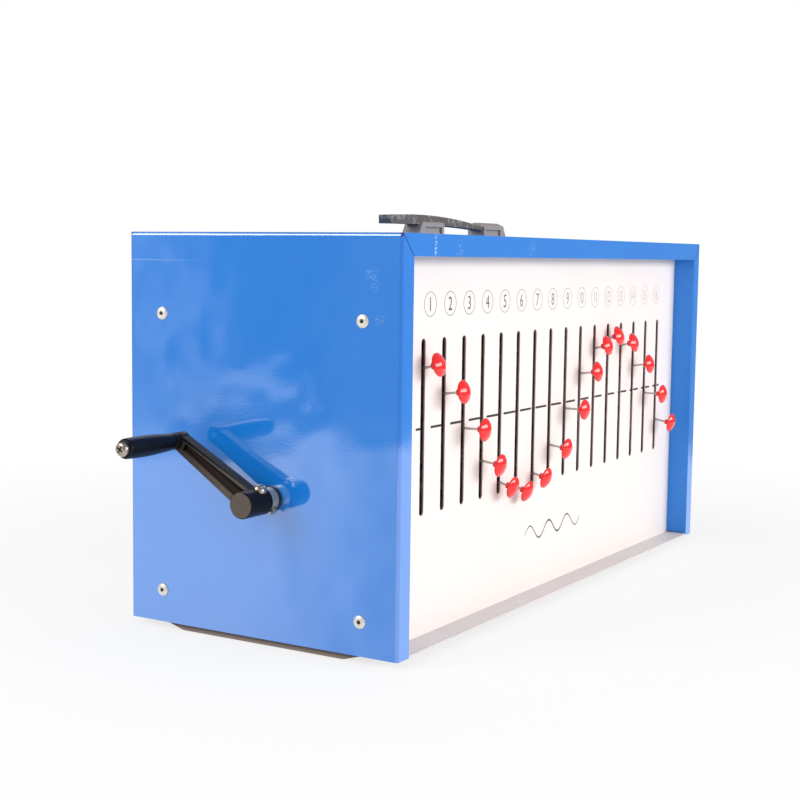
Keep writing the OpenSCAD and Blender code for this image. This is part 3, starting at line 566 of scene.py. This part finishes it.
def openTree(name, sockets):
    tree = bpy.data.node_groups.new(name, "GeometryNodeTree")
    for socketName, kind in sockets.items():
        tree.interface.new_socket(socketName, in_out="INPUT", socket_type="NodeSocket" + kind)
    tree.interface.new_socket("Geometry", in_out="OUTPUT", socket_type="NodeSocketGeometry")
    add = partial(addNode, tree)
    return tree, add, add("NodeGroupInput").outputs


def closeTree(tree, add, geometry, finish):
    real = add("GeometryNodeRealizeInstances", {0: geometry})
    add("NodeGroupOutput", {0: add("GeometryNodeSetMaterial", {"Geometry": real, "Material": finish})})
    return tree


# cover, panels and base: the sheets' cut edges are broken, the top folds and the returns' lower corners rounded
fold = {"above": 244.3, "beyond": 96.3, "near": 0.05}


def isTopFold(edge):
    return all(v.co.z > fold["above"] * mm and abs(v.co.y) > fold["beyond"] * mm for v in edge.verts)


def isReturnCorner(edge):
    return all(abs(v.co.z - box["returnEnd"] * mm) < fold["near"] * mm
               and abs(abs(v.co.y) - box["returnReach"] * mm) < fold["near"] * mm for v in edge.verts)


def closeReturns(bm):  # the returns' free edges are drawn up to the panels
    for v in bm.verts:
        if abs(abs(v.co.y) - box["returnEdge"] * mm) < fold["near"] * mm:
            v.co.y = box["returnReach"] * mm if v.co.y > 0 else -box["returnReach"] * mm


def isDullFace(face):  # the returns, where the spray is dry, and the handled top
    at, facing = face.center / mm, face.normal
    if facing.z > 0.99 and at.z > box["top"] - 0.5:
        return True
    side = abs(abs(at.x) - box["halfWidth"] + box["sideStrip"]) < 1 and facing.x * at.x < -0.9 * abs(at.x)
    top = abs(at.z - box["top"] + box["topStrip"]) < 1 and facing.z < -0.9
    return abs(at.y) > box["panelFace"] + 1 and (side or top)


coverPiece = dressNode("cover", "coverSheet", "housing", blueEnamel,
                       [(1.2, 4, 6, isTopFold), (2, 5, 40, isReturnCorner), (0.2, 2, 45)], closeReturns)
coverPiece.data.materials.append(blueEnamelDry)
for face in coverPiece.data.polygons:
    face.material_index = 1 if isDullFace(face) else 0
for side in ("front", "back"):
    dressNode(side + "_panel", side + "PanelSheet", "housing", whiteEnamel, [(0.15, 2, 45)])
dressNode("base_plate", "basePlateSheet", "housing", greyEnamel, [(0.25, 2, 45)])
dressNode("foot_rails", "footRails", "housing", rubber, [(0.6, 3, 15)])
print("sheets dressed")


# rivets: domed heads with the broken mandrel down in the hole, four on each side
rivet = {"reach": 72.8, "low": 24.7, "high": 196.9, "steps": 40,
         "head": [(0, -4.4), (2.6, -4.4), (3, -4.0), (3, -2.4), (2, -2.3), (2, 0), (3.95, 0), (4, 0.12), (3.97, 0.4),
                  (3.8, 0.68), (3.4, 0.95), (2.9, 1.15), (2.35, 1.3), (1.85, 1.38), (1.55, 1.4), (1.38, 1.35),
                  (1.3, 1.24), (1.28, 0.55), (0, 0.5)],
         "mandrel": [(0, 0.42), (1.2, 0.42), (1.2, 0.62), (1.05, 0.74), (0.6, 0.8), (0.35, 0.72), (0, 0.75)]}


def makeRivetTree():
    tree, add, given = openTree("sideRivets", {
        "Rivet": "Object", "Half Width": "Float", "Half Reach": "Float", "Low": "Float", "High": "Float",
        "Finish": "Material"})
    shape = add("GeometryNodeObjectInfo", {"Object": given["Rivet"]}).outputs["Geometry"]
    back = product(add, given["Half Reach"], -1.0)
    points = add("GeometryNodeJoinGeometry")
    for level in ("Low", "High"):
        start = add("CombineXYZ", {0: given["Half Width"], 1: back, 2: given[level]})
        end = add("CombineXYZ", {0: given["Half Width"], 1: given["Half Reach"], 2: given[level]})
        row = add("GeometryNodeMeshLine", {"Count": 2, "Start Location": start, "Offset": end}, mode="END_POINTS")
        tree.links.new(row.outputs[0], points.inputs[0])
    right = add("GeometryNodeInstanceOnPoints", {"Points": points, "Instance": shape, "Rotation": (0, pi / 2, 0)})
    left = add("GeometryNodeTransform", {"Geometry": right, "Rotation": (0, 0, pi)})
    both = add("GeometryNodeJoinGeometry")
    for side in (right, left):
        tree.links.new(side.outputs[0], both.inputs[0])
    return closeTree(tree, add, both, given["Finish"])


rivetTree = makeRivetTree()
rivetPlaces = {"Half Width": box["halfWidth"] * mm, "Half Reach": rivet["reach"] * mm, "Low": rivet["low"] * mm,
               "High": rivet["high"] * mm}
for profile, pieceName, finish in (("head", "sideRivets", rivetAlloy), ("mandrel", "rivetMandrels", mandrelSteel)):
    patternName = pieceName + "Pattern"
    rivetPattern = addObject(patternName, turnMesh(patternName, rivet[profile], rivet["steps"]))
    rivetMesh = growMesh(pieceName, rivetTree, {"Rivet": rivetPattern, "Finish": finish, **rivetPlaces})
    bpy.data.objects.remove(rivetPattern)
    rivetPiece = addPiece(pieceName, rivetMesh, "housing")
    if profile == "head":
        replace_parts(rivetPiece, "side_rivets")
print("rivets set")


# beads: a domed cap with a rounded rim, a tapered back and a short neck on the end of its wire
bead = {"radius": 7.3, "dome": 3, "rim": 0.8, "taper": 2.6, "neck": 2.1, "neckLength": 1.5, "bore": 0.75,
        "round": 0.25, "shoulder": 0.08, "swell": 0.7, "steps": 56}


def beadProfile():
    radius, neck = bead["radius"], bead["neck"]
    back = bead["rim"] + bead["taper"] + bead["neckLength"]
    domeRadius = (radius ** 2 + bead["dome"] ** 2) / (2 * bead["dome"])
    profile = [(0, 0.75 - back), (bead["bore"], 0.7 - back), (bead["bore"], 0.1 - back), (0.95, -back),
               (neck - bead["round"], -back), (neck, bead["round"] - back), (neck, 0.7 - back)]
    for i in range(1, 15):
        t = i / 14
        profile.append((neck + (radius - bead["round"] - neck) * t,
                        bead["taper"] * t ** bead["swell"] - bead["taper"] - bead["rim"]))
    profile += [(radius - 0.1, -0.68), (radius, -0.45), (radius, -0.2), (radius - bead["shoulder"], 0.02)]
    for i in range(1, 19):
        r = (radius - bead["shoulder"]) * (1 - i / 18)
        profile.append((r, sqrt(domeRadius ** 2 - r * r) - domeRadius + bead["dome"]))
    return profile


def makeBeadTree():
    tree, add, given = openTree("beadsOfOnePhase", {
        "Bead": "Object", "Count": "Int", "First": "Vector", "Spacing": "Float", "Lean": "Float", "Finish": "Material"})
    shape = add("GeometryNodeObjectInfo", {"Object": given["Bead"]}).outputs["Geometry"]
    step = add("CombineXYZ", {0: given["Spacing"]})
    points = add("GeometryNodeMeshLine", {"Count": given["Count"], "Start Location": given["First"], "Offset": step})
    tip = add("Math", {0: pi / 2, 1: given["Lean"]}, operation="SUBTRACT")
    turn = add("CombineXYZ", {0: tip})
    row = add("GeometryNodeInstanceOnPoints", {"Points": points, "Instance": shape, "Rotation": turn})
    return closeTree(tree, add, row, given["Finish"])


beadPattern = addObject("beadPattern", turnMesh("beadPattern", beadProfile(), bead["steps"]))
beadTree = makeBeadTree()
for g in phases:
    members = list(slots[g - 1::wave["cycle"]])
    rise = wave["amplitude"] * cos(radians((g - wave["crest"]) * 360 / wave["cycle"]))
    lean = asin(rise / wave["swing"])
    bendY = -box["panelFace"] - wave["bendOut"]
    beadY = -box["panelFace"] - wave["reach"] + wave["swing"] * (1 - cos(lean))
    beadZ = wave["middle"] + rise + (bendY - beadY) * tan(lean)
    beadMesh = growMesh("beads" + two(g), beadTree, {
        "Bead": beadPattern, "Count": len(members), "First": (slotX(g) * mm, beadY * mm, beadZ * mm),
        "Spacing": wave["cycle"] * wave["pitch"] * mm, "Lean": lean, "Finish": redPolystyrene})
    beadPiece = addPiece("beads" + two(g), beadMesh, "lifter_" + two(g))
    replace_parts(beadPiece, *("bead_" + two(n) for n in members))
bpy.data.objects.remove(beadPattern)
print("beads placed")


# print on the front panel: a dashed line at mid height, ringed numbers and a plain wave sign
dashes = {"first": -198.9, "pitch": 23.9, "length": 17, "from": -192.5, "to": 197.5, "height": 131.8, "thick": 1.5,
          "clear": 0.2, "least": 0.3}
rings = {"first": -177.3, "pitch": 24.2, "height": 205.4, "radius": 7.25, "line": 0.34, "film": 0.03, "steps": 48,
         "digits": 12, "squeeze": 0.85, "squeezeTwo": 0.68}
sign = {"from": -44, "to": 46, "height": 45.5, "rise": 5, "waves": 3, "line": 1.1, "steps": 32}
printY = -(box["panelFace"] + 0.05) * mm


def makeDashTree():
    tree, add, given = openTree("dashedLine", {"Geometry": "Geometry", "Thickness": "Float", "Finish": "Material"})
    outline = add("GeometryNodeCurvePrimitiveQuadrilateral", {"Width": 1.0, "Height": given["Thickness"]})
    bar = add("GeometryNodeFillCurve", {0: outline})
    long = add("GeometryNodeInputNamedAttribute", {"Name": "long"}, data_type="FLOAT")
    size = add("CombineXYZ", {0: long, 1: 1.0, 2: 1.0})
    row = add("GeometryNodeInstanceOnPoints", {"Points": given["Geometry"], "Instance": bar, "Scale": size,
                                               "Rotation": (pi / 2, 0, 0)})
    return closeTree(tree, add, row, given["Finish"])


def makeRingTree():
    tree, add, given = openTree("numberRings", {
        "Count": "Int", "First": "Vector", "Pitch": "Float", "Radius": "Float", "Line": "Float", "Finish": "Material"})
    step = add("CombineXYZ", {0: given["Pitch"]})
    points = add("GeometryNodeMeshLine", {"Count": given["Count"], "Start Location": given["First"], "Offset": step})
    path = add("GeometryNodeCurvePrimitiveCircle", {"Resolution": rings["steps"], "Radius": given["Radius"]})
    section = add("GeometryNodeCurvePrimitiveQuadrilateral", {"Width": given["Line"], "Height": rings["film"] * mm})
    ring = add("GeometryNodeCurveToMesh", {"Curve": path, "Profile Curve": section})
    row = add("GeometryNodeInstanceOnPoints", {"Points": points, "Instance": ring, "Rotation": (pi / 2, 0, 0)})
    return closeTree(tree, add, row, given["Finish"])


def dashSpans():  # each dash, cut where a slot goes through the panel
    half = wave["slotWidth"] / 2 + dashes["clear"]
    spans = []
    start = dashes["first"]
    while start < dashes["to"]:
        parts = [(max(start, dashes["from"]), min(start + dashes["length"], dashes["to"]))]
        for n in slots:
            low, high = slotX(n) - half, slotX(n) + half
            cuts = [cut for a, b in parts for cut in ((a, min(b, low)), (max(a, high), b))]
            parts = [(a, b) for a, b in cuts if b - a > dashes["least"]]
        spans += parts
        start += dashes["pitch"]
    return spans


def faceFront(bm):
    for face in bm.faces:
        if face.normal.y > 0:
            face.normal_flip()


def makeDigits():
    bm = bmesh.new()
    for n in slots:
        words = bpy.data.curves.new("digits", "FONT")
        words.body = str(n)
        words.size = rings["digits"] * mm
        words.align_x = "CENTER"
        words.align_y = "CENTER"
        words.resolution_u = 4
        holder = addObject("digits", words)
        flat = finalMesh(holder)
        squeeze = rings["squeeze"] if n < 10 else rings["squeezeTwo"]
        centre, middle = ((min(line) + max(line)) / 2 for line in
                          ([v.co.x for v in flat.vertices], [v.co.y for v in flat.vertices]))
        atX = (rings["first"] + rings["pitch"] * (n - 1)) * mm
        for v in flat.vertices:
            v.co = (atX + (v.co.x - centre) * squeeze, printY, rings["height"] * mm + v.co.y - middle)
        bm.from_mesh(flat)
        bpy.data.objects.remove(holder)
        bpy.data.curves.remove(words)
        bpy.data.meshes.remove(flat)
    faceFront(bm)
    return meshFrom(bm, "slotNumbers")


def makeWaveSign():  # a brush line, thin at its ends and where it is steep
    bm = bmesh.new()
    steps = sign["steps"] * sign["waves"]
    wide = sign["to"] - sign["from"]
    pairs = []
    for i in range(steps + 1):
        t = i / steps
        turn = 2 * pi * sign["waves"] * t
        slope = sign["rise"] * 2 * pi * sign["waves"] / wide * cos(turn)
        long = hypot(1, slope)
        half = sign["line"] / 2 * (0.55 + 0.45 * sin(pi * t)) * (1.15 - 0.3 * abs(cos(turn)))
        x = sign["from"] + wide * t
        z = sign["height"] + sign["rise"] * sin(turn)
        pairs.append([bm.verts.new(((x - s * half * slope / long) * mm, printY, (z + s * half / long) * mm))
                      for s in (-1, 1)])
    for a, b in zip(pairs, pairs[1:]):
        bm.faces.new((a[0], b[0], b[1], a[1]))
    bmesh.ops.recalc_face_normals(bm, faces=bm.faces)
    faceFront(bm)
    return meshFrom(bm, "waveSign")


spans = dashSpans()
dashMesh = growMesh("dashedLine", makeDashTree(), {"Thickness": dashes["thick"] * mm, "Finish": ink},
                    [((a + b) / 2 * mm, printY, dashes["height"] * mm) for a, b in spans],
                    [(b - a) * mm for a, b in spans])
addPiece("dashedLine", dashMesh, "housing")
ringMesh = growMesh("numberRings", makeRingTree(), {
    "Count": wave["count"], "First": (rings["first"] * mm, printY, rings["height"] * mm),
    "Pitch": rings["pitch"] * mm, "Radius": rings["radius"] * mm, "Line": rings["line"] * mm, "Finish": fadedInk})
addPiece("numberRings", ringMesh, "housing")
addPiece("slotNumbers", makeDigits(), "housing", fadedInk)
addPiece("waveSign", makeWaveSign(), "housing", ink)
print("panel printed:", len(spans), "dashes")


# crank: a turned grip, and the arm, collar and screws with broken edges
grip = {"length": 41, "root": 5, "swell": 6.25, "swellAt": 0.62, "end": 5.9, "round": 1.6, "bore": 2.3, "lead": 0.5,
        "steps": 72, "startX": -264.7}
crank = {"axisY": -10, "axisZ": 90, "arm": 63, "angle": radians(59), "hubEnd": -267.7, "face": -259.5,
         "halfWaist": 5.4,  # the arm's long edges lie further out than this
         "recess": 1.25, "cross": 2.3,
         # each screw's seat, its direction and how high its head stands
         "screws": [((-252.5, 44.0, 122.45), (-1, 0, 0), 56.6), ((-252.7, -10, 90), (0, -0.342, 0.94), 10.6)]}


def gripProfile():
    length, root, swell, lead = grip["length"], grip["root"], grip["swell"], grip["lead"]
    swellAt = length * grip["swellAt"]
    profile = [(grip["bore"], 0), (root - lead, 0), (root - 0.15, 0.15), (root, lead)]
    for i in range(1, 25):
        t = i / 24
        profile.append((root + (swell - root) * sin(pi / 2 * t), lead + (swellAt - lead) * t))
    for i in range(1, 9):
        t = i / 8
        profile.append((swell + (grip["end"] - swell) * t * t, swellAt + (length - grip["round"] - swellAt) * t))
    for i in range(1, 9):
        a = pi / 2 * i / 8
        profile.append((grip["end"] - grip["round"] * (1 - cos(a)), length - grip["round"] * (1 - sin(a))))
    return profile + [(grip["bore"] + 0.3, length), (grip["bore"], length - 0.3)]


def isHubRim(edge):
    return all(v.co.x < (crank["hubEnd"] + 0.1) * mm for v in edge.verts)


def isArmEdge(edge):
    middle = (edge.verts[0].co + edge.verts[1].co) / 2 / mm
    off = (middle.y - crank["axisY"]) * cos(crank["angle"]) - (middle.z - crank["axisZ"]) * sin(crank["angle"])
    return all(abs(v.co.x / mm - crank["face"]) < 0.05 for v in edge.verts) and abs(off) > crank["halfWaist"]


def isCross(point):  # inside a screw's cross recess
    for seat, out, top in crank["screws"]:
        offset = point - Vector(seat)
        height = offset.dot(Vector(out))
        if top - crank["recess"] < height < top - 0.05 and (offset - height * Vector(out)).length < crank["cross"]:
            return True
    return False


gripMesh = turnMesh("crankGrip", gripProfile(), grip["steps"], bored=True)
gripY = crank["axisY"] + crank["arm"] * sin(crank["angle"])
gripZ = crank["axisZ"] + crank["arm"] * cos(crank["angle"])
gripAt = Matrix.Translation((grip["startX"] * mm, gripY * mm, gripZ * mm))
gripMesh.transform(gripAt @ Matrix.Rotation(-pi / 2, 4, "Y"))
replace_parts(addPiece("crankGrip", gripMesh, "grip", phenolic), "crank_grip")
dressNode("crank_arm", "crankArm", "shaft", blackEnamel,
          [(0.8, 4, 40, isHubRim), (0.9, 4, 40, isArmEdge), (0.4, 3, 40)])
dressNode("crank_screws", "crankScrews", "shaft", nickel, [(0.12, 2, 25)], None, isCross)
dressNode("shaft_collar", "shaftCollar", "shaft", zinc, [(0.35, 3, 40)])
print("crank dressed")


# carry handle: moulded edges rounded
dressNode("handle_strap", "handleStrap", "housing", strapPlastic, [(0.9, 3, 40)])
dressNode("handle_brackets", "handleBrackets", "housing", bracketPlastic, [(0.5, 3, 25)])
print("handle dressed")


# solids that keep their own mesh
kept = {"shaft_bearings": bushNylon, "guide_rails": extrudedAlloy, "guide_rods": groundSteel, "wave_shaft": turnedSteel}
for g in phases:
    kept["disc_" + two(g)] = discNylon
for n in slots:
    kept["rod_" + two(n)] = drawnSteel
for nodeName, material in kept.items():
    nodes[nodeName].data.materials.clear()
    nodes[nodeName].data.materials.append(material)
print("drive finished")


# studio: a white paper that keeps the shadow, a low wide lamp in front, one at the left and a pale room; a lamp is its
# place in metres, its width, its height and its watts
studio = {"floorSize": 8, "key": ((0.3, -2.0, 0.66), 2.0, 0.55, 30), "side": ((-1.35, 0.75, 0.85), 0.9, 0.9, 12),
          "aim": (0, -0.03, 0.12), "fill": 0.66, "paper": (0.86, 0.86, 0.86, 1), "white": (1, 1, 1, 1),
          "shadowEnd": (0.3, 0.7)}

# what the gloss paint mirrors, by direction: where each thing starts and ends in a unit vector
mirror = {"clutter": 26.0, "pale": (0.617, 0.63), "front": (0.565, 0.54), "ceiling": (0.05, 0.5), "dark": (0.1, 0.4),
          "cardAt": (0.598, -0.094), "cardWide": (0.03, 0.022), "cardTall": (0.013, 0.006), "paperAt": 0.48,
          "paperWide": 0.11, "paperEdge": (-0.118, -0.135)}


# how bright the room looks in gloss paint: pale behind the left side, darker in the middle, white paper below
def mirrorLevel(add, facing):
    right, back, up = add("SeparateXYZ", {0: facing}).outputs
    clutter = add("TexNoise", {"Vector": facing, "Scale": mirror["clutter"]})
    shades = add("MapRange", {0: clutter, 1: 0.4, 2: 0.62, 3: 0.12, 4: 0.36})
    levels = {}
    for part, along, low, high in (("pale", back, 0.0, shades), ("front", back, 0.13, 0.2),
                                   ("ceiling", up, 0.0, 0.15), ("paperEdge", up, 0.0, 1.0)):
        levels[part] = add("MapRange", {0: along, **span(mirror[part], 1), 3: low, 4: high})
    walls = add("Math", {0: levels["pale"], 1: levels["front"]}, operation="ADD")
    room = add("Math", {0: walls, 1: levels["ceiling"]}, operation="ADD")
    toRight = add("MapRange", {0: right, **span(mirror["dark"], 1)})
    toBack = add("MapRange", {0: back, **span(mirror["dark"], 1), 4: 0.65})
    dim = add("Math", {0: 1.0, 1: product(add, toRight, toBack)}, operation="SUBTRACT")
    # a white card on the floor beyond the paper
    cardY, cardZ = mirror["cardAt"]
    cardWide = add("MapRange", {0: distance(add, back, cardY), **span(mirror["cardWide"], 1), 4: 0.5})
    cardTall = add("MapRange", {0: distance(add, up, cardZ), **span(mirror["cardTall"], 1)})
    card = add("Math", {0: cardWide, 1: cardTall, 2: product(add, room, dim)}, operation="MULTIPLY_ADD")
    paper = add("MapRange", {0: distance(add, back, mirror["paperAt"]), 2: mirror["paperWide"], 3: 0.4})
    return add("Mix", {0: levels["paperEdge"], 2: card, 3: paper}, data_type="FLOAT")


def makeFloor():
    bm = bmesh.new()
    bmesh.ops.create_grid(bm, x_segments=2, y_segments=2, size=studio["floorSize"] / 2)
    mesh = meshFrom(bm, "floor")
    floor = addObject("floor", mesh)
    material, add, place = openMaterial("whitePaperSweep")
    path = add("LightPath").outputs
    paper = add("BsdfDiffuse", {"Color": studio["paper"]})
    glow = add("Emission", {"Color": studio["white"], "Strength": 1.0})
    away = add("VectorMath", {0: place}, operation="LENGTH")
    fade = add("MapRange", {0: away, **span(studio["shadowEnd"], 1), 3: 0.75})
    seen = add("MixShader", {0: fade, 1: paper, 2: glow})
    facing = add("VectorMath", {0: add("NewGeometry").outputs["Incoming"], 3: -1.0}, operation="SCALE")
    mirrored = add("Emission", {"Color": studio["white"], "Strength": mirrorLevel(add, facing)})
    notSeen = add("MixShader", {0: path["Is Glossy Ray"], 1: paper, 2: mirrored})
    both = add("MixShader", {0: path["Is Camera Ray"], 1: notSeen, 2: seen})
    add("OutputMaterial", {"Surface": both})
    mesh.materials.append(material)


def makeRoom():
    world = bpy.data.worlds.new("whiteRoom")
    scene.world = world
    world.use_nodes = True
    world.node_tree.nodes.clear()
    add = partial(addNode, world.node_tree)
    path = add("LightPath").outputs
    gloss = mirrorLevel(add, add("TexCoord").outputs["Generated"])
    fill = add("Mix", {0: path["Is Glossy Ray"], 2: studio["fill"], 3: gloss}, data_type="FLOAT")
    white = add("Math", {0: path["Is Camera Ray"], 1: path["Is Transmission Ray"]}, operation="MAXIMUM")
    level = add("Mix", {0: white, 2: fill, 3: 1.0}, data_type="FLOAT")
    back = add("Background", {"Color": studio["white"], "Strength": level})
    add("OutputWorld", {"Surface": back})


def hangLamp(name, at, wide, tall, watts):
    lamp = bpy.data.lights.new(name, "AREA")
    lamp.shape = "RECTANGLE"
    lamp.size = wide
    lamp.size_y = tall
    lamp.energy = watts
    holder = addObject(name, lamp)
    holder.location = at
    holder.rotation_euler = (Vector(studio["aim"]) - Vector(at)).to_track_quat("-Z", "Y").to_euler()


makeFloor()
makeRoom()
hangLamp("keySoftbox", *studio["key"])
hangLamp("sideSoftbox", *studio["side"])
scene.view_settings.view_transform = "Standard"
print("studio lit")
